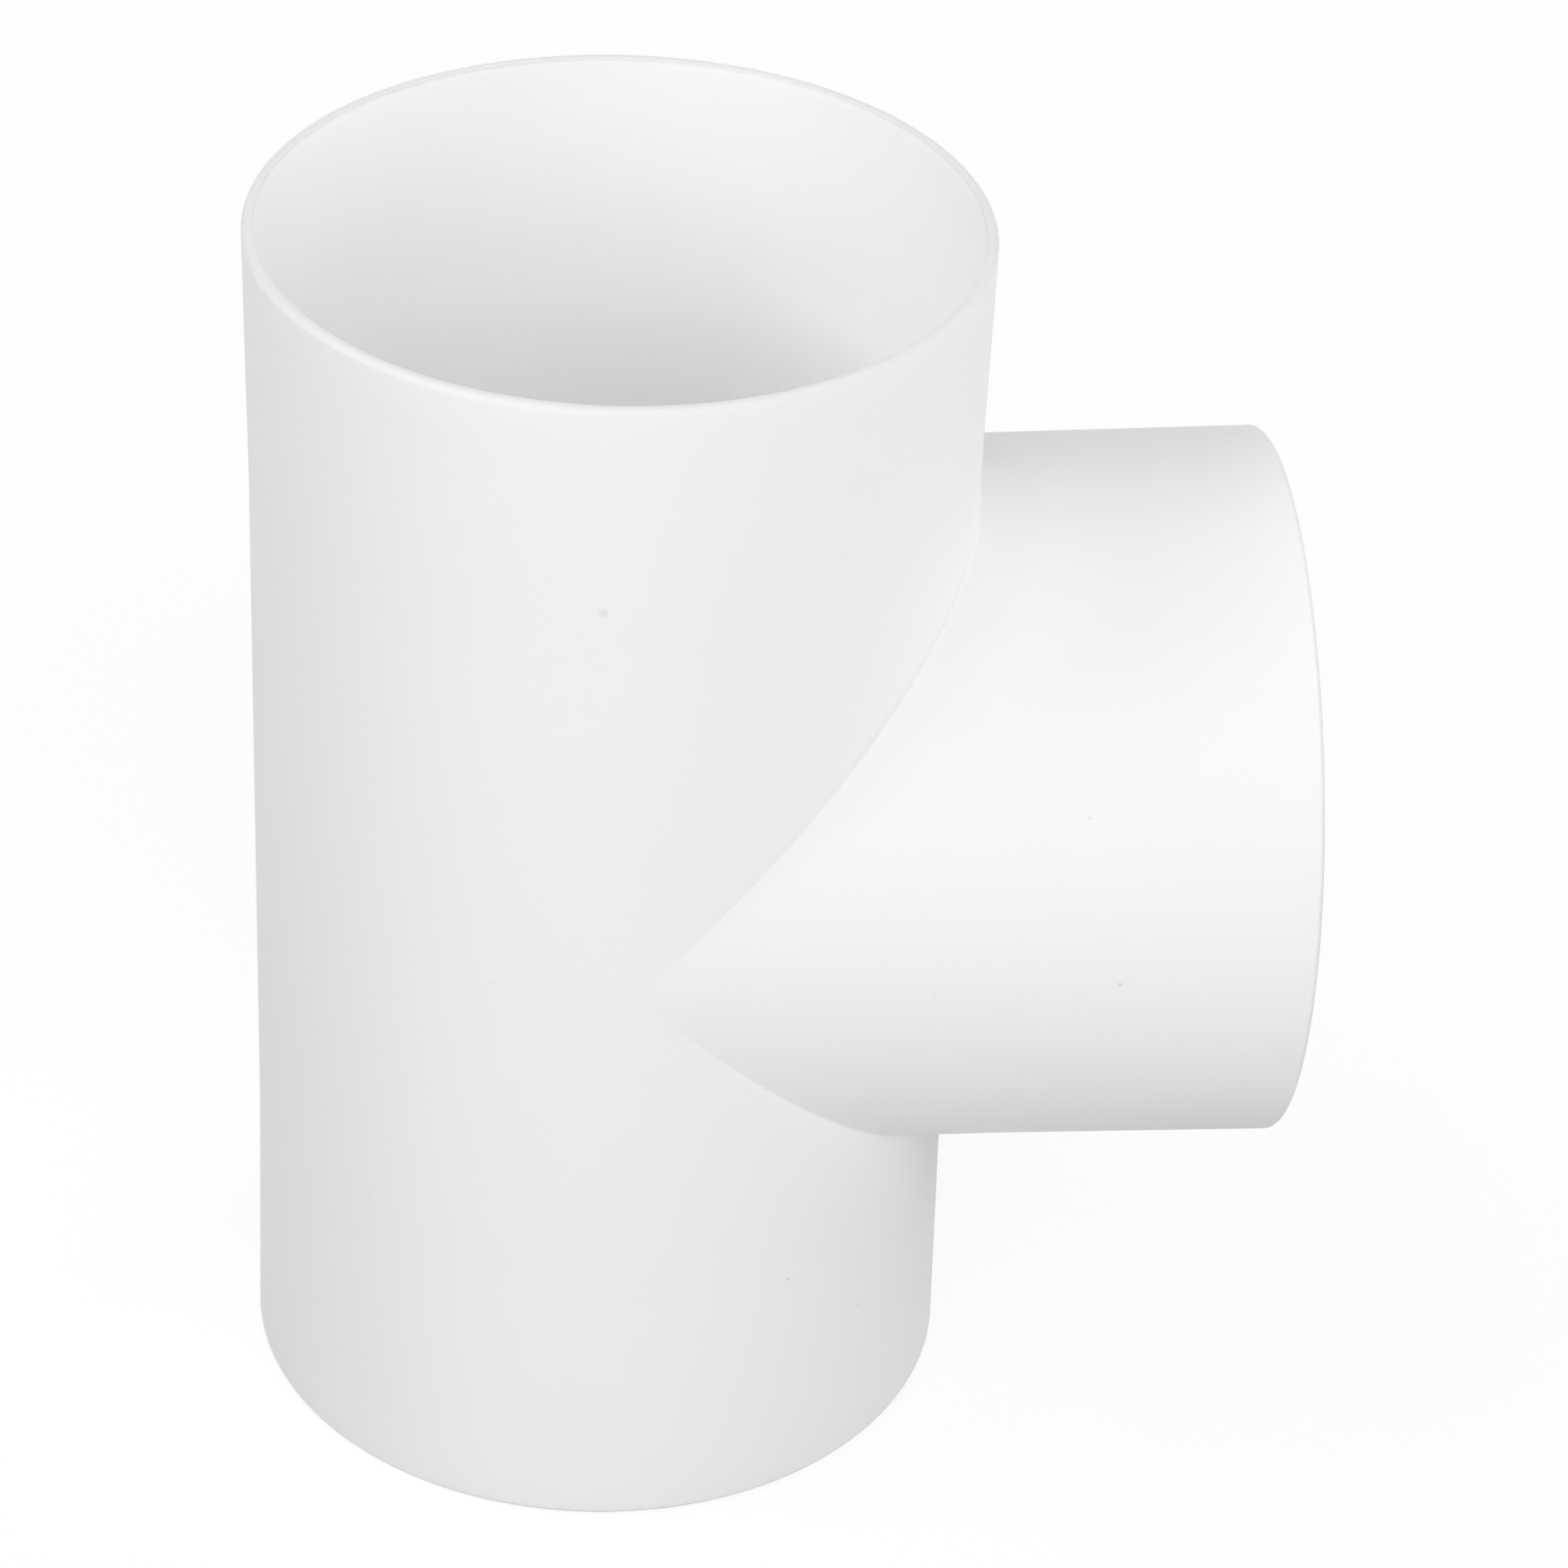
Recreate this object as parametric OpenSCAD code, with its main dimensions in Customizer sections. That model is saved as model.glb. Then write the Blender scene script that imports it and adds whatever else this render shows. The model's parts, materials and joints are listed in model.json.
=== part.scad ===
// Equal tee for round ventilation duct: a straight run with a branch of the same size at 90 degrees.
// Each mouth is a socket that a duct slides into. The branch is cut to a 90 degree point that seats
// in a notch of the run, and a small concave bead follows the outside of that mitred seam.
// Millimetres. +Z runs up the run, +X along the branch, origin at the centre of the bottom mouth.

/* [Duct and sockets] */
// Outside diameter of the round duct that the tee joins
duct_d = 100; // [80:1:160]
// Difference in diameter between a socket's bore and the duct
socket_gap = 0.4; // [0.2:0.05:0.8]
// Length of the parallel bore in each socket
socket_l = 32; // [15:1:60]
// Length of the cone behind each socket that stops the duct
stop_l = 8; // [4:1:20]
// How far the bore behind the cone is smaller than the duct, on radius
stop_h = 0.3; // [0.1:0.05:1]

/* [Walls] */
// Wall thickness of the tubes between the sockets
tube_wall = 1.6; // [1.2:0.1:4]
// Wall thickness at the mouths
mouth_wall = 1.6; // [1.2:0.1:4]
// Radius of the rounded outer edge of each mouth
rim_round = 0.8; // [0.2:0.1:1]

/* [Tee] */
// Straight length of the run between the saddle and each flare
run_shoulder = 2.2; // [2:0.1:60]
// Straight length of the branch between the saddle and its flare
branch_shoulder = 4.7; // [2:0.1:60]
// Radius of the concave bead along the seam of the run and the branch
bead_r = 0.6; // [0.3:0.1:1.5]

/* [Hidden] */
$fn = 180;
// Radii of the bore and the skin, at the sockets and between them
socket_r = (duct_d + socket_gap) / 2;
mouth_r = socket_r + mouth_wall;
bore_r = duct_d / 2 - stop_h;
tube_r = bore_r + tube_wall;
// A tube's skin widens evenly from the shoulder to the mouth
flare_l = socket_l + stop_l;
flare_slope = (mouth_r - tube_r) / flare_l;
// Distances from the crossing of the two axes to the mouths
run_reach = tube_r + run_shoulder + flare_l;
branch_reach = tube_r + branch_shoulder + flare_l;
// The seam bead fades out towards the sides of the run, where the two skins become tangent
bead_end = 72;
bead_steps = 72;
bead_arc_steps = 4;
// The bead's flat strips lie outside the round skins and touch them halfway along each step
bead_seat_r = tube_r / cos(bead_end / bead_steps);
white = [0.95, 0.95, 0.945];

// Skin and bore of a tube from the crossing to one mouth, as [radius, distance] points
function half_section(reach) = [
    [tube_r, reach - flare_l], [mouth_r, reach],
    [socket_r, reach], [socket_r, reach - socket_l], [bore_r, reach - flare_l]
];

// Corner between a mouth's face and its flared skin that the rim's rounding takes away.
// The circle touches both, so its centre lies rim_round below the face and off the skin.
module rim_corner(reach) {
    skin = sqrt(1 + flare_slope * flare_slope);
    centre = [mouth_r - rim_round * (flare_slope + skin), reach - rim_round];
    touch = centre + rim_round * [1, -flare_slope] / skin;
    difference() {
        polygon([[centre[0], reach], [mouth_r + 1, reach], [mouth_r + 1, touch[1]], touch, centre]);
        translate(centre) circle(r = rim_round);
    }
}

module two_mouthed_tube(reach) {
    up = half_section(reach);
    down = [for (i = [len(up) - 1:-1:0]) [up[i][0], -up[i][1]]];
    rotate_extrude() difference() {
        polygon(concat(up, down));
        rim_corner(reach);
        mirror([0, 1]) rim_corner(reach);
    }
}

module one_mouthed_tube(reach) {
    rotate_extrude() difference() {
        polygon(concat([[bore_r, 0], [tube_r, 0]], half_section(reach)));
        rim_corner(reach);
    }
}

// Everything on the branch's side of the two mitre planes, which cross on the run's axis
module branch_side() {
    side = mouth_r + 1;
    end = branch_reach + 1;
    rotate([90, 0, 0]) linear_extrude(2 * side, center = true)
        polygon([[0, 0], [side, side], [end, side], [end, -side], [side, -side]]);
}

// Point of the bead's concave face at angle a round the run and share t from run to branch.
// A ball of radius bead_r rolls along both skins, with its centre in the mitre plane.
function bead_point(a, t) =
    let (
        ball = (bead_seat_r + bead_r) * [cos(a), sin(a), cos(a)],
        to_run = -[cos(a), sin(a), 0],
        to_branch = -[0, sin(a), cos(a)],
        turn = acos(to_run * to_branch)
    )
    ball + bead_r * (sin((1 - t) * turn) * to_run + sin(t * turn) * to_branch) / sin(turn);

// Closed ring of the bead at angle a: the corner of the seam, then the concave face
function bead_ring(a) = concat(
    [bead_seat_r * [cos(a), sin(a), cos(a)]],
    [for (i = [0:bead_arc_steps]) bead_point(a, i / bead_arc_steps)]
);

// Bead along the upper seam, with the crossing of the two axes at the origin
module seam_bead() {
    n = bead_arc_steps + 2;
    last = bead_steps * n;
    rings = [for (k = [0:bead_steps]) each bead_ring(bead_end * (2 * k / bead_steps - 1))];
    walls = [for (k = [0:bead_steps - 1], i = [0:n - 1])
        let (a = k * n + i, b = k * n + (i + 1) % n)
        each [[a, a + n, b], [b, a + n, b + n]]];
    ends = [for (i = [1:n - 2]) each [[0, i, i + 1], [last, last + i + 1, last + i]]];
    polyhedron(rings, concat(walls, ends));
}

module run_tube() {
    color(white) translate([0, 0, run_reach]) difference() {
        two_mouthed_tube(run_reach);
        branch_side();
    }
}

module branch_tube() {
    color(white) translate([0, 0, run_reach]) intersection() {
        rotate([0, 90, 0]) one_mouthed_tube(branch_reach);
        branch_side();
    }
}

module upper_seam_bead() {
    color(white) translate([0, 0, run_reach]) seam_bead();
}

module lower_seam_bead() {
    color(white) translate([0, 0, run_reach]) mirror([0, 0, 1]) seam_bead();
}

run_tube();
branch_tube();
upper_seam_bead();
lower_seam_bead();
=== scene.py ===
"""Dresses a thin-walled plastic duct tee: smooth moulded skins, the seam's fillet and a plain studio."""
import json
import math

import bpy
import numpy as np
from bpy.props import FloatProperty, FloatVectorProperty, PointerProperty
from mathutils import Matrix, Vector


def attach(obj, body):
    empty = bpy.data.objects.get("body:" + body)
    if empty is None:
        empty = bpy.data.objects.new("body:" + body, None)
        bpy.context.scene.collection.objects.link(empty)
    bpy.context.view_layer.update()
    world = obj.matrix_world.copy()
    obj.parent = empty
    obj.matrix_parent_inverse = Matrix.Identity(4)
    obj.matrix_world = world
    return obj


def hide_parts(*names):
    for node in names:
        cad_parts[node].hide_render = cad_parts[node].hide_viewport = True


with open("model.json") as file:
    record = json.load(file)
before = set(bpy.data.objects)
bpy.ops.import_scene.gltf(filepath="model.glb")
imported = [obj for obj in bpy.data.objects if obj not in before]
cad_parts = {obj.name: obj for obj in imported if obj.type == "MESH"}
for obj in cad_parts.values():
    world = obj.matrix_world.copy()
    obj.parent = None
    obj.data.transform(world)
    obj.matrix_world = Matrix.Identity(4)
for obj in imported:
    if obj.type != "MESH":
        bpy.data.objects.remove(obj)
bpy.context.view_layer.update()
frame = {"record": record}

bl_info = {
    "name": "Duct tee",
    "version": (1, 0, 0),
    "blender": (4, 5, 0),
    "location": "View3D > Sidebar > Duct Tee",
    "description": "Skins, seam fillet and studio for a thin-walled plastic duct tee",
    "category": "Object",
}

MM = 0.001
MOUNTS = {mount["name"]: mount for mount in frame["record"]["mounts"]}
SOCKET_RADIUS = MOUNTS["top_socket"]["dims"]["r_mm"] * MM
SOCKET_LENGTH = MOUNTS["top_socket"]["dims"]["length_mm"] * MM
RUN_LENGTH = MOUNTS["top_socket"]["pos_m"][2]
BRANCH_REACH = MOUNTS["branch_socket"]["pos_m"][0]
CROSSING = MOUNTS["branch_socket"]["pos_m"][2]

# Steps round a tube, which the quarter turns divide, and along the parts of its wall
ROUND_STEPS = 360
NECK_STEPS = 14
FLARE_STEPS = 8
RIM_STEPS = 8
EDGE_STEPS = 3
# Rings of points this far either side of a bend in the wall, and this far inside a mouth, keep
# the shading of the faces that meet there apart
BEND_RING = 1 * MM
LIP_RING = 1.5 * MM
# The seam's fillet: steps along and across it, and where it ends, in degrees from its middle,
# just short of the sides, where the two skins run into each other
BEAD_STEPS = 240
BEAD_ARC_STEPS = 8
BEAD_END = 84
SHARP_ANGLE = math.radians(30)
# More than a cosine's rounding error, and less than one step's change
ROUNDING = 1e-9

# Specks and pits, placed as on one real tee: degrees round the run and height up it, radius in
# millimetres, strength 0 to 1
RUN_MARKS = (
    (-96, 156, 1.0, 0.22),
    (-112, 94, 0.6, 0.08),
    (-40, 157, 0.5, 0.06),
    (-73, 34, 0.4, 0.15),
    (-62, 38, 0.4, 0.5),
    (-46, 26, 0.5, 0.3),
    (-135, 49, 0.5, 0.2),
)
# The same on the branch: reach from the run's axis and degrees from +Y towards +Z
BRANCH_MARKS = (
    (63, 152, 0.4, 0.35),
    (68, 180, 0.5, 0.4),
    (42, 181, 0.4, 0.15),
    (44, 121, 0.5, 0.12),
    (41, 125, 0.5, 0.12),
    (39, 131, 0.5, 0.12),
)
# Share of a mark's radius that has its full strength, and how deep a pit is against the waves
MARK_CORE = 0.3
PIT_DEPTH = 0.5
DIRT_COLOUR = "C8C8C8"
# Colour of the painted shade on the mouths' faces and along the upper seam
PAINTED_SHADE_COLOUR = "EBEBEB"
# Share of a mouth's rounding, from its face inwards, that has all of the painted shade on the mouth's
# flat face
MOUTH_SHADE_DEPTH = 0.1
# Painted shade along the upper seam, for the shade in the crease and the run's shadow on the
# branch: its share, its reach on the upright run and on the branch's top, the normal's Z from which
# the skin counts as its top, and the height above the crossing where it comes to its full share
SEAM_SHADE = 0.5
SEAM_SHADE_REACH = (1.5 * MM, 11 * MM)
SEAM_SHADE_TOP = 0.7
SEAM_SHADE_RISE = 45 * MM
# Size of the patches that shine more or less, length of the shrinkage waves, and the span of a
# noise's values that carries the patches from least to most
PATCH_SIZE = 25 * MM
WAVE_LENGTH = 30 * MM
NOISE_SPAN = (0.3, 0.7)
# Matched to how little the tee's edges shine, with its roughness, and well below PVC's 1.53
SKIN_IOR = 1.34

# Floor: half its side, its drop under the lower mouth so that the two faces never coincide, its
# colour in the room's light, the colour that takes the tee's shadow under a glow of its own, and
# where that gives way to plain white, in heights of the tee from its foot
FLOOR_HALF = 4.0
FLOOR_DROP = 0.02 * MM
PAPER_COLOUR = "B3B3B3"
SHADOW_COLOUR = "7C7C7C"
SHADOW_GLOW = 0.82
SHADOW_FADE = (1, 4)
WHITE = "FFFFFF"
ROOM_LIGHT = 0.05
SENSOR_WIDTH = 36
# Pale walls inside a tube light each other many times over
DIFFUSE_BOUNCES = 12
MAX_BOUNCES = 16
# Softboxes: their distance, then azimuth and elevation in degrees, width and height in metres,
# and watts, which come from a least-squares fit of the tee's tones
SOFTBOX_DISTANCE = 1.5
SOFTBOXES = {
    "front_low": (-7, 14, 1.0, 0.7, 3.9),
    "front_right_low": (33, 14, 1.0, 0.7, 4.2),
    "front_left_low": (-47, 14, 1.0, 0.7, 1.0),
    "front_high": (-7, 40, 0.8, 0.7, 3.6),
    "front_right": (33, 40, 0.8, 0.7, 4.1),
    "front_left": (-45, 34, 0.8, 0.7, 2.3),
    "left": (-87, 40, 0.8, 0.7, 6.6),
    "left_back": (-127, 52, 0.8, 0.8, 4.0),
    "back_high": (173, 64, 0.8, 0.7, 2.1),
    "right": (113, 40, 0.8, 0.7, 4.1),
    "right_low": (113, 14, 1.0, 0.7, 4.2),
}


def linear(hex_colour):
    """Linear red, green, blue and alpha of an sRGB hex colour such as "F2F2F1"."""
    srgb = np.array([int(hex_colour[i:i + 2], 16) for i in (0, 2, 4)]) / 255
    curve = np.where(srgb <= 0.04045, srgb / 12.92, ((srgb + 0.055) / 1.055) ** 2.4)
    return (*curve.tolist(), 1.0)


class TeeSizes(bpy.types.PropertyGroup):
    """Sizes of the tee that the frame's mounts don't state"""
    mouth_wall: FloatProperty(
        name="Mouth wall", description="Wall thickness at the mouths",
        default=1.6 * MM, min=1.2 * MM, unit="LENGTH", precision=5)
    tube_wall: FloatProperty(
        name="Tube wall", description="Wall thickness between the sockets",
        default=1.6 * MM, min=1.2 * MM, unit="LENGTH", precision=5)
    bore_step: FloatProperty(
        name="Bore step", description="How far the bore narrows behind a socket, on radius",
        default=0.5 * MM, min=0.1 * MM, unit="LENGTH", precision=5)
    cone_length: FloatProperty(
        name="Stop cone", description="Length of the cone that stops the duct",
        default=8 * MM, min=1 * MM, unit="LENGTH", precision=5)
    rim_round: FloatProperty(
        name="Rim rounding", description="Radius of the rounded outer edge of a mouth",
        default=0.8 * MM, min=0.1 * MM, unit="LENGTH", precision=5)
    inner_round: FloatProperty(
        name="Inner edge", description="Radius of the broken inner edge of a mouth",
        default=0.15 * MM, min=0.02 * MM, unit="LENGTH", precision=5)
    bead_radius: FloatProperty(
        name="Seam fillet", description="Radius of the concave fillet along the seam",
        default=0.6 * MM, min=0.1 * MM, unit="LENGTH", precision=5)


class TeeFinish(bpy.types.PropertyGroup):
    """Colour and gloss of the plastic, and how strongly its surface varies"""
    plastic_colour: FloatVectorProperty(
        name="Plastic", description="Colour of the moulded plastic",
        default=linear("FAFAFA")[:3], size=3, min=0, max=1, subtype="COLOR")
    roughness: FloatProperty(
        name="Roughness", description="Mean roughness of the skin",
        default=0.5, min=0, max=1, subtype="FACTOR")
    roughness_spread: FloatProperty(
        name="Roughness spread", description="How far the roughness wanders either side of its mean",
        default=0.05, min=0, max=0.3, subtype="FACTOR")
    wave_height: FloatProperty(
        name="Wave height", description="Height of the slow waves left by shrinkage",
        default=0.04 * MM, min=0, unit="LENGTH", precision=6)


class StudioSettings(bpy.types.PropertyGroup):
    """Camera and light"""
    azimuth: FloatProperty(
        name="Azimuth", description="Camera's turn round the tee, 0 looking along +Y",
        default=math.radians(-6.84), unit="ROTATION")
    elevation: FloatProperty(
        name="Elevation", description="Camera's angle above the floor",
        default=math.radians(33.59), unit="ROTATION")
    roll: FloatProperty(
        name="Roll", description="Camera's turn about its own line of sight",
        default=math.radians(2.51), unit="ROTATION")
    distance: FloatProperty(
        name="Distance", description="From the camera to its target",
        default=0.8304, min=0.1, unit="LENGTH")
    target: FloatVectorProperty(
        name="Target", description="Point that the camera looks at",
        default=(25.8 * MM, 0, CROSSING + 0.55 * MM), size=3, subtype="TRANSLATION",
        unit="LENGTH")
    lens: FloatProperty(
        name="Lens", description="Focal length on a 36 mm wide sensor, in millimetres",
        default=130.4, min=10)


def node(tree, kind, inputs=None, **settings):
    """Adds a shader node, sets its properties, and fills or links its inputs by name or number."""
    made = tree.nodes.new(kind)
    for name, value in settings.items():
        setattr(made, name, value)
    for name, value in (inputs or {}).items():
        if isinstance(value, bpy.types.NodeSocket):
            tree.links.new(value, made.inputs[name])
        else:
            made.inputs[name].default_value = value
    return made


def skin_radius(distance, reach):
    """Outer radius of a tube at a distance from the crossing: plain, then widening to its mouth."""
    sizes = bpy.context.scene.tee_sizes
    plain = SOCKET_RADIUS - sizes.bore_step + sizes.tube_wall
    flared = SOCKET_LENGTH + sizes.cone_length
    share = max(0.0, distance - (reach - flared)) / flared
    return plain + share * (SOCKET_RADIUS + sizes.mouth_wall - plain)


def mark_places():
    """Place, radius and strength of each mark, from its angle and height on the run, or from its
    reach and angle on the branch."""
    for angle, height, size, strength in RUN_MARKS:
        radius = skin_radius(abs(height * MM - CROSSING), RUN_LENGTH - CROSSING)
        turn = math.radians(angle)
        yield (radius * math.cos(turn), radius * math.sin(turn), height * MM), size, strength
    for reach, angle, size, strength in BRANCH_MARKS:
        radius = skin_radius(reach * MM, BRANCH_REACH)
        turn = math.radians(angle)
        yield (reach * MM, radius * math.cos(turn), CROSSING + radius * math.sin(turn)), size, strength


def marks_mask(tree, place):
    """Strength of the nearest mark at a place, a soft spot round each mark's centre."""
    mask = None
    for centre, size, strength in mark_places():
        away = node(tree, "ShaderNodeVectorMath", {0: place, 1: centre}, operation="DISTANCE")
        spot = node(tree, "ShaderNodeMapRange", {
            "Value": away.outputs["Value"], "From Min": MARK_CORE * size * MM,
            "From Max": size * MM, "To Min": strength, "To Max": 0.0},
            interpolation_type="SMOOTHSTEP").outputs["Result"]
        mask = spot if mask is None else node(
            tree, "ShaderNodeMath", {0: mask, 1: spot}, operation="MAXIMUM").outputs[0]
    return mask


def mouths_shade_mask(tree, place):
    """Painted shade: 1 on the three mouths' flat faces, fading to 0 where their rounded edges end."""
    depth = bpy.context.scene.tee_sizes.rim_round
    axes = node(tree, "ShaderNodeSeparateXYZ", {0: place}).outputs
    mask = None
    for axis, mouth, inwards in (("Z", RUN_LENGTH, -1), ("Z", 0.0, 1), ("X", BRANCH_REACH, -1)):
        face = node(tree, "ShaderNodeMapRange", {
            "Value": axes[axis], "From Min": mouth + inwards * depth,
            "From Max": mouth + inwards * MOUTH_SHADE_DEPTH * depth},
            interpolation_type="SMOOTHSTEP").outputs["Result"]
        mask = face if mask is None else node(
            tree, "ShaderNodeMath", {0: mask, 1: face}, operation="MAXIMUM").outputs[0]
    return mask


def seam_shade_mask(tree, coordinates):
    """Painted shade along the upper seam, for the shade in the crease and the run's shadow on the
    branch: a line on the run, which stands upright, and a wide soft band on the branch, where the
    skin faces up. A place's distance from the seam's plane is the gap between its X and its height
    above the crossing, divided by the root of 2."""
    axes = node(tree, "ShaderNodeSeparateXYZ", {0: coordinates["Object"]}).outputs
    up = node(tree, "ShaderNodeSeparateXYZ", {0: coordinates["Normal"]}).outputs["Z"]
    rise = node(tree, "ShaderNodeMath", {0: axes["Z"], 1: CROSSING}, operation="SUBTRACT").outputs[0]
    gap = node(tree, "ShaderNodeMath", {0: axes["X"], 1: rise}, operation="SUBTRACT").outputs[0]
    away = node(tree, "ShaderNodeMath", {0: gap}, operation="ABSOLUTE").outputs[0]
    upright, level = (math.sqrt(2) * reach for reach in SEAM_SHADE_REACH)
    width = node(tree, "ShaderNodeMapRange", {
        "Value": up, "From Max": SEAM_SHADE_TOP, "To Min": upright, "To Max": level}).outputs["Result"]
    near = node(tree, "ShaderNodeMapRange", {
        "Value": away, "From Max": width, "To Min": 1.0, "To Max": 0.0},
        interpolation_type="SMOOTHSTEP").outputs["Result"]
    shade_share = node(tree, "ShaderNodeMapRange", {
        "Value": rise, "From Max": SEAM_SHADE_RISE, "To Max": SEAM_SHADE}).outputs["Result"]
    return node(tree, "ShaderNodeMath", {0: near, 1: shade_share}, operation="MULTIPLY").outputs[0]


def moulded_plastic():
    """White PVC, taken to be injection moulded: a smooth skin with a soft sheen, slow waves that
    bend its reflections, patches a little duller or glossier than the rest, painted shade on the
    mouths' faces and along the upper seam, and a few small specks and pits."""
    name = "Gloss white PVC, injection moulded"
    if name in bpy.data.materials:
        return bpy.data.materials[name]
    finish = bpy.context.scene.tee_finish
    material = bpy.data.materials.new(name)
    material.use_nodes = True
    tree = material.node_tree
    tree.nodes.clear()
    coordinates = node(tree, "ShaderNodeTexCoord").outputs
    place = coordinates["Object"]
    # Painted shade on the mouths' faces and along the upper seam, and dirt in the specks and pits
    painted_shade = node(tree, "ShaderNodeMath", {
        0: mouths_shade_mask(tree, place), 1: seam_shade_mask(tree, coordinates)}, operation="MAXIMUM").outputs[0]
    with_painted_shade = node(tree, "ShaderNodeMix", {
        0: painted_shade, 6: (*finish.plastic_colour, 1), 7: linear(PAINTED_SHADE_COLOUR)},
        data_type="RGBA").outputs[2]
    marks = marks_mask(tree, place)
    colour = node(tree, "ShaderNodeMix", {
        0: marks, 6: with_painted_shade, 7: linear(DIRT_COLOUR)}, data_type="RGBA").outputs[2]
    # Shine that wanders from patch to patch
    patches = node(tree, "ShaderNodeTexNoise", {
        "Vector": place, "Scale": 1 / PATCH_SIZE, "Detail": 3.0}).outputs["Fac"]
    roughness = node(tree, "ShaderNodeMapRange", {
        "Value": patches, "From Min": NOISE_SPAN[0], "From Max": NOISE_SPAN[1],
        "To Min": finish.roughness - finish.roughness_spread,
        "To Max": finish.roughness + finish.roughness_spread}).outputs["Result"]
    # Shrinkage waves, and the pits in them
    waves = node(tree, "ShaderNodeTexNoise", {
        "Vector": place, "Scale": 1 / WAVE_LENGTH, "Detail": 2.0}).outputs["Fac"]
    height = node(tree, "ShaderNodeMath", {
        0: marks, 1: -PIT_DEPTH, 2: waves}, operation="MULTIPLY_ADD").outputs[0]
    bump = node(tree, "ShaderNodeBump", {
        "Height": height, "Strength": 1.0, "Distance": finish.wave_height})
    shader = node(tree, "ShaderNodeBsdfPrincipled", {
        "Base Color": colour, "Roughness": roughness, "IOR": SKIN_IOR,
        "Normal": bump.outputs["Normal"]})
    node(tree, "ShaderNodeOutputMaterial", {"Surface": shader.outputs["BSDF"]})
    return material


def make_piece(name, vertices, faces, replaced):
    """Mesh object of points in metres and their faces, smooth except across sharp edges, that
    stands in for a solid of the frame."""
    mesh = bpy.data.meshes.new(name)
    mesh.from_pydata(vertices.tolist(), [], [face.tolist() for face in faces])
    mesh.polygons.foreach_set("use_smooth", np.ones(len(mesh.polygons), bool))
    mesh.set_sharp_from_angle(angle=SHARP_ANGLE)
    if mesh.validate():
        raise RuntimeError(f"{name} has faces that Blender had to mend")
    mesh.materials.append(moulded_plastic())
    piece = bpy.data.objects.new(name, mesh)
    bpy.context.scene.collection.objects.link(piece)
    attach(piece, "root")
    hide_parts(replaced)
    return piece


def arc(centre, radius, start, end, steps):
    """Points at equal angles along a circle's arc, from start to end in degrees."""
    angle = np.radians(np.linspace(start, end, steps + 1))
    return np.stack([centre[0] + radius * np.cos(angle), centre[1] + radius * np.sin(angle)], 1)


def wall_path(reach):
    """Section of a tube from its seam, over its mouth and back to its seam inside.

    Returns radius, distance and seam share. A point's distance from the crossing is a straight
    mix of its own distance and the seam's, by the share: 1 on the seam, 0 from the flare on."""
    sizes = bpy.context.scene.tee_sizes
    bore = SOCKET_RADIUS - sizes.bore_step
    skin = bore + sizes.tube_wall
    mouth = SOCKET_RADIUS + sizes.mouth_wall
    flare = reach - SOCKET_LENGTH - sizes.cone_length
    socket_end = reach - SOCKET_LENGTH
    widening = (mouth - skin) / (reach - flare)
    rim = (mouth - sizes.rim_round * (1 + widening), reach - sizes.rim_round)
    edge = (SOCKET_RADIUS + sizes.inner_round, reach - sizes.inner_round)
    share = np.linspace(1, 0, NECK_STEPS + 1)[:-1]
    neck = np.stack([share * 0 + skin, share * 0 + flare - BEND_RING], 1)
    back = np.stack([share * 0 + bore, share * 0 + flare - BEND_RING], 1)
    along = np.linspace(0, rim[1] - flare, FLARE_STEPS + 1)[1:-1]
    flared = np.stack([skin + widening * along, flare + along], 1)
    taper = sizes.bore_step * BEND_RING / sizes.cone_length
    inside = np.array([
        [SOCKET_RADIUS, reach - LIP_RING], [SOCKET_RADIUS, reach - SOCKET_LENGTH / 2],
        [SOCKET_RADIUS, socket_end + BEND_RING], [SOCKET_RADIUS, socket_end],
        [SOCKET_RADIUS - taper, socket_end - BEND_RING], [bore + taper, flare + BEND_RING],
        [bore, flare], [bore, flare - BEND_RING]])
    middle = np.concatenate([
        [[skin, flare - BEND_RING], [skin, flare]], flared,
        arc(rim, sizes.rim_round, -math.degrees(math.atan(widening)), 90, RIM_STEPS),
        arc(edge, sizes.inner_round, 90, 180, EDGE_STEPS), inside])
    points = np.concatenate([neck, middle, back[::-1]])
    shares = np.concatenate([share, np.zeros(len(middle)), share[::-1]])
    return points[:, 0], points[:, 1], shares


def grid_quads(index):
    """Quads of a grid of vertex numbers, rows along the wall's path and columns round the tube."""
    a, b = index[:-1, :-1], index[:-1, 1:]
    c, d = index[1:, 1:], index[1:, :-1]
    return np.stack([a, b, c, d], -1).reshape(-1, 4)


def round_grid(path, seam):
    """Radius, distance and angle of each grid point of a tube. seam gives the seam's distance
    from the crossing at a radius and an angle, and the share of each point pulls it there."""
    radius, reach, share = (values[:, None] for values in path)
    angle = np.linspace(0, 2 * np.pi, ROUND_STEPS, endpoint=False)[None, :]
    distance = reach + share * (seam(radius, angle) - reach)
    return radius + 0 * angle, distance, angle + 0 * radius


def closed_columns(index):
    """The grid with its first column repeated after the last, which closes it round the tube."""
    return np.concatenate([index, index[:, :1]], 1)


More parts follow.
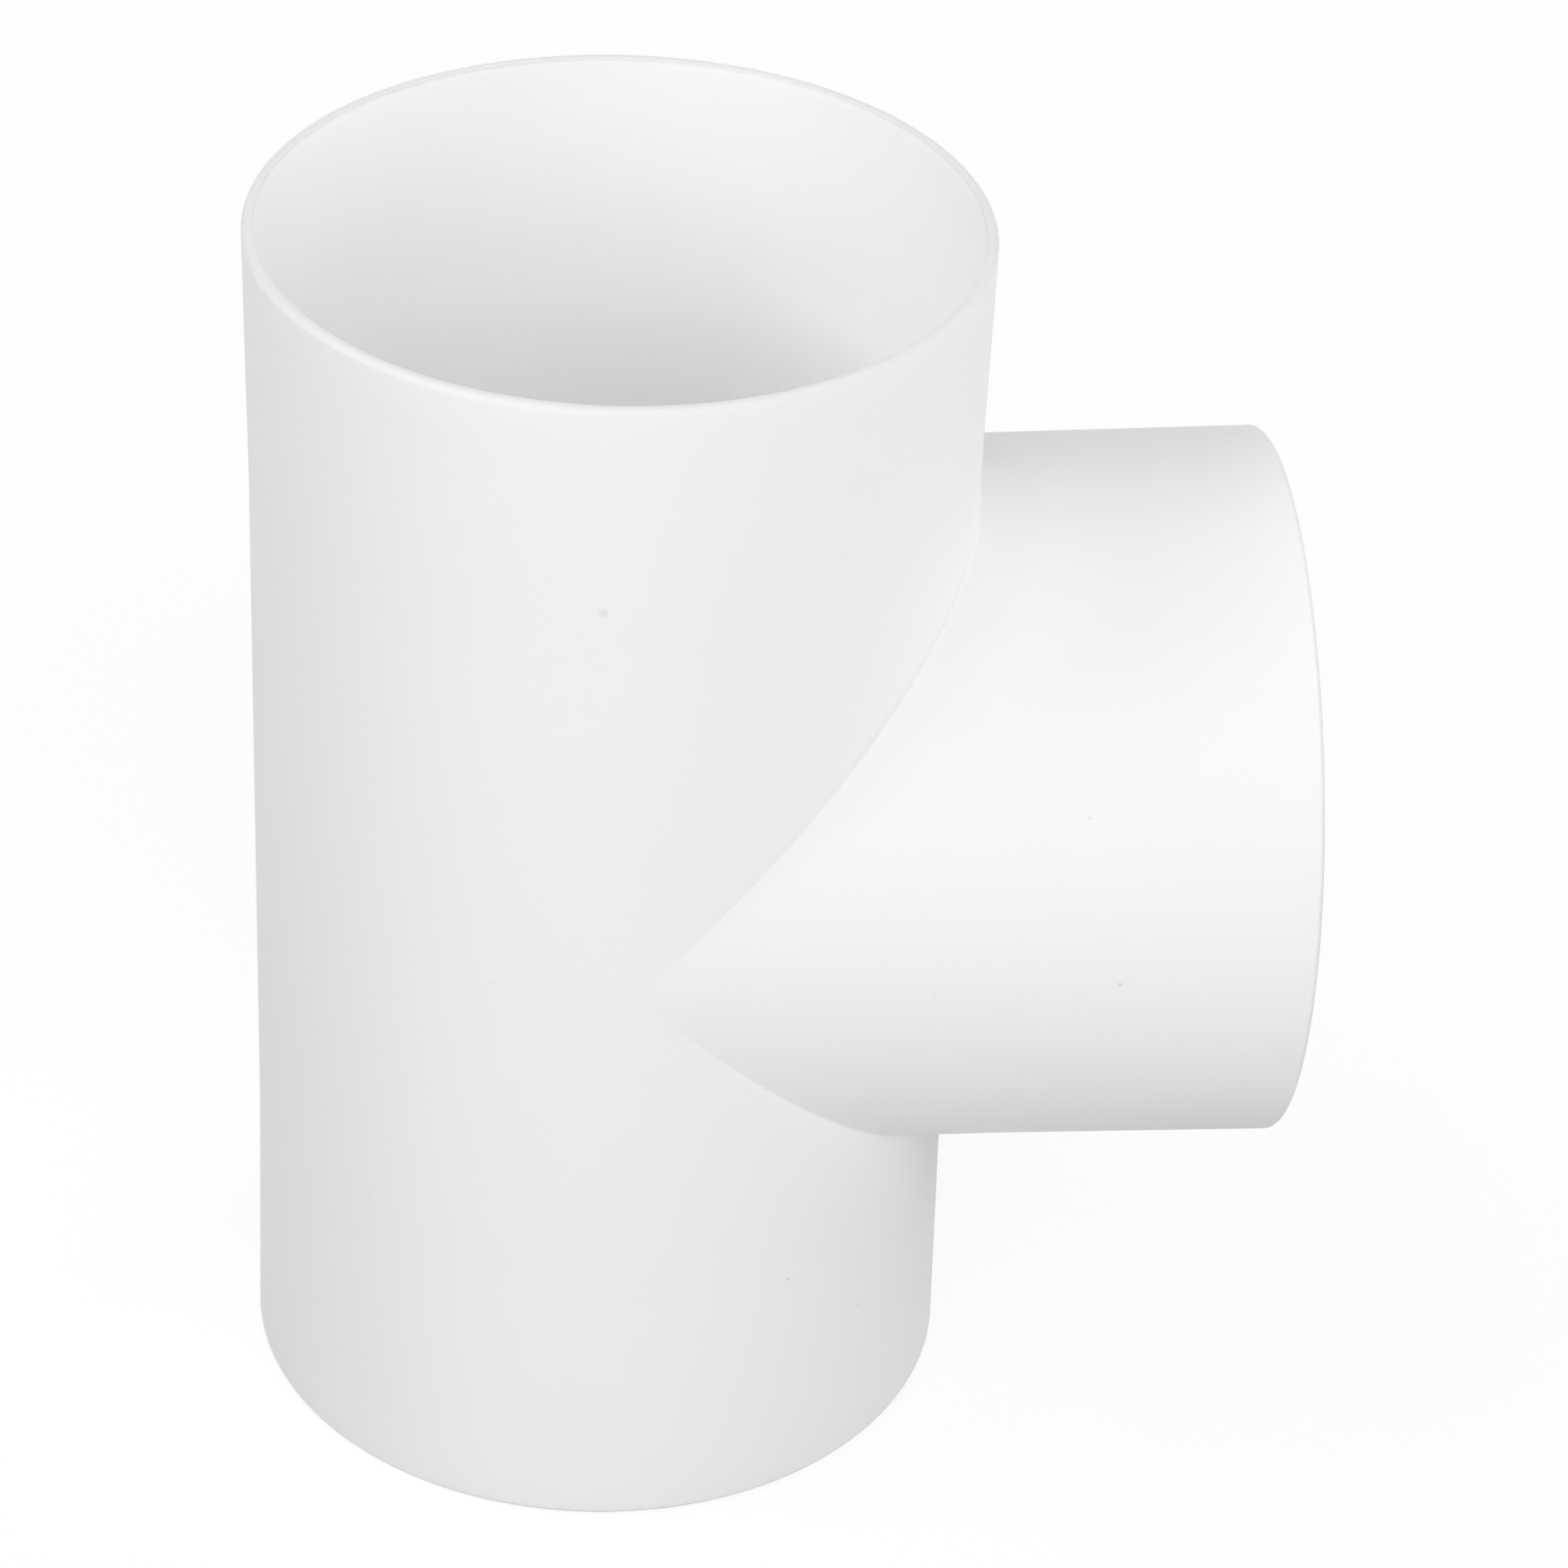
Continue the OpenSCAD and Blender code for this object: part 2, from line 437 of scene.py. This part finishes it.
def run_tube():
    """Run: the wall's path carried round Z, above and below the crossing. On the branch's side
    each part ends in a plane at 45 degrees, where the distance from the crossing is radius
    times the cosine of the angle. On the far side the two parts share their seam points."""
    radius, distance, angle = round_grid(
        wall_path(RUN_LENGTH - CROSSING), lambda r, a: np.maximum(r * np.cos(a), 0))
    x, y = radius * np.cos(angle), radius * np.sin(angle)
    upper = np.stack([x, y, CROSSING + distance], -1).reshape(-1, 3)
    lower = np.stack([x, y, CROSSING - distance], -1).reshape(-1, 3)
    rows, columns = radius.shape
    top = np.arange(rows * columns).reshape(rows, columns)
    bottom = top + rows * columns
    whole = np.cos(angle[0]) < ROUNDING
    for row in (0, -1):
        bottom[row, whole] = top[row, whole]
    used, numbers = np.unique(np.concatenate([top, bottom]), return_inverse=True)
    vertices = np.concatenate([upper, lower])[used]
    top, bottom = np.split(numbers.reshape(2 * rows, columns), 2)
    top, bottom, whole = closed_columns(top), closed_columns(bottom), np.append(whole, whole[0])
    cut = ~(whole[:-1] & whole[1:])
    faces = [
        grid_quads(top), grid_quads(bottom)[:, ::-1],
        grid_quads(top[[-1, 0]])[cut], grid_quads(bottom[[-1, 0]])[cut][:, ::-1]]
    return vertices, np.concatenate(faces)


def branch_tube():
    """Branch: the wall's path carried round the branch's axis. Its seam lies in the same two
    planes, where the distance from the crossing is the height above or below the axis."""
    radius, distance, angle = round_grid(
        wall_path(BRANCH_REACH), lambda r, a: np.abs(r * np.sin(a)))
    vertices = np.stack(
        [distance, radius * np.cos(angle), CROSSING + radius * np.sin(angle)], -1).reshape(-1, 3)
    rows, columns = radius.shape
    index = closed_columns(np.arange(rows * columns).reshape(rows, columns))
    return vertices, np.concatenate([grid_quads(index), grid_quads(index[[-1, 0]])])


def seam_bead(side):
    """Fillet of the upper seam for side 1, or the lower for -1. A ball rolls along both skins
    with its centre in the seam's plane, and the face is its arc from one touch to the other,
    an even turn between the two directions to the axes. The corner of the seam closes it."""
    sizes = bpy.context.scene.tee_sizes
    skin = SOCKET_RADIUS - sizes.bore_step + sizes.tube_wall
    ball = sizes.bead_radius
    a = np.radians(np.linspace(-BEAD_END, BEAD_END, BEAD_STEPS + 1))[None, :, None]
    t = np.linspace(0, 1, BEAD_ARC_STEPS + 1)[:, None, None]
    zero = 0 * a
    out = np.concatenate([np.cos(a), np.sin(a), np.cos(a)], -1)
    to_run = -np.concatenate([np.cos(a), np.sin(a), zero], -1)
    to_branch = -np.concatenate([zero, np.sin(a), np.cos(a)], -1)
    turn = np.arccos((to_run * to_branch).sum(-1, keepdims=True))
    face = (skin + ball) * out + ball * (
        np.sin((1 - t) * turn) * to_run + np.sin(t * turn) * to_branch) / np.sin(turn)
    rings = np.concatenate([skin * out, face])
    rings[..., 2] = CROSSING + side * rings[..., 2]
    rows, columns = rings.shape[:2]
    index = np.arange(rows * columns).reshape(rows, columns)
    loop = np.concatenate([index, index[:1]])
    quads = grid_quads(loop)
    first, last = index[:, 0], index[:, -1]
    if side > 0:
        quads, first = quads[:, ::-1], first[::-1]
    else:
        last = last[::-1]
    return rings.reshape(-1, 3), [*quads, first, last]


class TEE_OT_run_tube(bpy.types.Operator):
    """Make the straight run, with its two sockets and the notch for the branch"""
    bl_idname = "tee.run_tube"
    bl_label = "Run Tube"

    def execute(self, context):
        make_piece("run_skin", *run_tube(), "run_tube")
        return {"FINISHED"}


class TEE_OT_branch_tube(bpy.types.Operator):
    """Make the branch, with its socket and its pointed end"""
    bl_idname = "tee.branch_tube"
    bl_label = "Branch Tube"

    def execute(self, context):
        make_piece("branch_skin", *branch_tube(), "branch_tube")
        return {"FINISHED"}


class TEE_OT_seam_beads(bpy.types.Operator):
    """Make the fillets that follow the seam, above and below the branch"""
    bl_idname = "tee.seam_beads"
    bl_label = "Seam Beads"

    def execute(self, context):
        make_piece("upper_seam_fillet", *seam_bead(1), "upper_seam_bead")
        make_piece("lower_seam_fillet", *seam_bead(-1), "lower_seam_bead")
        return {"FINISHED"}


def aim(azimuth, elevation, roll=0.0):
    """Rotation that looks at the tee from an azimuth and an elevation, turned about its own line."""
    back = Vector((math.sin(azimuth) * math.cos(elevation),
                   -math.cos(azimuth) * math.cos(elevation), math.sin(elevation)))
    right = Vector((math.cos(azimuth), math.sin(azimuth), 0))
    up = back.cross(right)
    turned_right = math.cos(roll) * right + math.sin(roll) * up
    turned_up = math.cos(roll) * up - math.sin(roll) * right
    return Matrix((turned_right, turned_up, back)).transposed(), back


def background_rays(tree):
    """1 for rays from the camera, a mirror or clear glass, which see the background as white."""
    rays = node(tree, "ShaderNodeLightPath").outputs
    bent = node(tree, "ShaderNodeMath", {
        0: rays["Is Glossy Ray"], 1: rays["Is Transmission Ray"]}, operation="MAXIMUM").outputs[0]
    return node(tree, "ShaderNodeMath", {
        0: rays["Is Camera Ray"], 1: bent}, operation="MAXIMUM").outputs[0]


def white_floor():
    """Matt white paper, which the room's light leaves a mid grey. To the camera it shines as white
    and its own shading is thinned to a faint shadow, which fades out where the lamps' pool ends."""
    material = bpy.data.materials.new("Matt paper sweep")
    material.use_nodes = True
    tree = material.node_tree
    tree.nodes.clear()
    paper = node(tree, "ShaderNodeBsdfDiffuse", {"Color": linear(PAPER_COLOUR)})
    shaded = node(tree, "ShaderNodeBsdfDiffuse", {"Color": linear(SHADOW_COLOUR)})
    glow = node(tree, "ShaderNodeEmission", {"Color": linear(WHITE), "Strength": SHADOW_GLOW})
    near = node(tree, "ShaderNodeAddShader", {0: shaded.outputs[0], 1: glow.outputs[0]})
    place = node(tree, "ShaderNodeTexCoord").outputs["Object"]
    away = node(tree, "ShaderNodeVectorMath", {0: place}, operation="LENGTH").outputs["Value"]
    fade = node(tree, "ShaderNodeMapRange", {
        "Value": away, "From Min": SHADOW_FADE[0] * RUN_LENGTH,
        "From Max": SHADOW_FADE[1] * RUN_LENGTH}, interpolation_type="SMOOTHSTEP").outputs["Result"]
    plain = node(tree, "ShaderNodeEmission", {"Color": linear(WHITE), "Strength": 1.0})
    white = node(tree, "ShaderNodeMixShader", {
        0: fade, 1: near.outputs[0], 2: plain.outputs[0]})
    mix = node(tree, "ShaderNodeMixShader", {
        0: background_rays(tree), 1: paper.outputs[0], 2: white.outputs[0]})
    node(tree, "ShaderNodeOutputMaterial", {"Surface": mix.outputs[0]})
    return material


def white_room():
    """World that is white behind the tee and gives it only a little light of its own."""
    world = bpy.data.worlds.new("white_room")
    world.use_nodes = True
    tree = world.node_tree
    tree.nodes.clear()
    air = node(tree, "ShaderNodeBackground", {"Color": linear(WHITE), "Strength": ROOM_LIGHT})
    white = node(tree, "ShaderNodeBackground", {"Color": linear(WHITE), "Strength": 1.0})
    mix = node(tree, "ShaderNodeMixShader", {
        0: background_rays(tree), 1: air.outputs[0], 2: white.outputs[0]})
    node(tree, "ShaderNodeOutputWorld", {"Surface": mix.outputs[0]})
    return world


class TEE_OT_studio(bpy.types.Operator):
    """Make the floor, the soft light and the camera"""
    bl_idname = "tee.studio"
    bl_label = "Studio"

    def execute(self, context):
        scene = context.scene
        settings = scene.tee_studio
        mesh = bpy.data.meshes.new("paper_floor")
        corners = [(x * FLOOR_HALF, y * FLOOR_HALF, -FLOOR_DROP)
                   for x, y in ((-1, -1), (1, -1), (1, 1), (-1, 1))]
        mesh.from_pydata(corners, [], [(0, 1, 2, 3)])
        mesh.materials.append(white_floor())
        floor = bpy.data.objects.new("paper_floor", mesh)
        scene.collection.objects.link(floor)
        # The lamps face a point between the run and the branch
        centre = Vector((BRANCH_REACH / 4, 0, CROSSING))
        for name, (azimuth, elevation, width, height, power) in SOFTBOXES.items():
            turn, back = aim(math.radians(azimuth), math.radians(elevation))
            data = bpy.data.lights.new(f"{name}_softbox", "AREA")
            data.shape, data.size, data.size_y, data.energy = "RECTANGLE", width, height, power
            light = bpy.data.objects.new(data.name, data)
            light.visible_camera = False
            light.matrix_world = Matrix.Translation(centre + back * SOFTBOX_DISTANCE) @ turn.to_4x4()
            scene.collection.objects.link(light)
        scene.world = white_room()
        turn, back = aim(settings.azimuth, settings.elevation, settings.roll)
        data = bpy.data.cameras.new("studio_camera")
        data.lens, data.sensor_width = settings.lens, SENSOR_WIDTH
        camera = bpy.data.objects.new("studio_camera", data)
        place = Vector(settings.target) + back * settings.distance
        camera.matrix_world = Matrix.Translation(place) @ turn.to_4x4()
        scene.collection.objects.link(camera)
        scene.camera = camera
        scene.view_settings.view_transform = "Standard"
        scene.cycles.diffuse_bounces = DIFFUSE_BOUNCES
        scene.cycles.max_bounces = MAX_BOUNCES
        return {"FINISHED"}


class TEE_PT_panel(bpy.types.Panel):
    """Lists the tee's operators"""
    bl_idname = "TEE_PT_panel"
    bl_label = "Duct Tee"
    bl_space_type = "VIEW_3D"
    bl_region_type = "UI"
    bl_category = "Duct Tee"

    def draw(self, context):
        for operator in OPERATORS:
            self.layout.operator(operator.bl_idname)


OPERATORS = (TEE_OT_run_tube, TEE_OT_branch_tube, TEE_OT_seam_beads, TEE_OT_studio)
GROUPS = {"tee_sizes": TeeSizes, "tee_finish": TeeFinish, "tee_studio": StudioSettings}


def register():
    for kind in (*GROUPS.values(), *OPERATORS, TEE_PT_panel):
        bpy.utils.register_class(kind)
    for name, group in GROUPS.items():
        setattr(bpy.types.Scene, name, PointerProperty(type=group))


def unregister():
    for name in GROUPS:
        delattr(bpy.types.Scene, name)
    for kind in reversed((*GROUPS.values(), *OPERATORS, TEE_PT_panel)):
        bpy.utils.unregister_class(kind)


def main():
    """Makes every piece and the studio."""
    register()
    bpy.ops.tee.run_tube()
    bpy.ops.tee.branch_tube()
    bpy.ops.tee.seam_beads()
    bpy.ops.tee.studio()


if __name__ == "__main__":
    main()
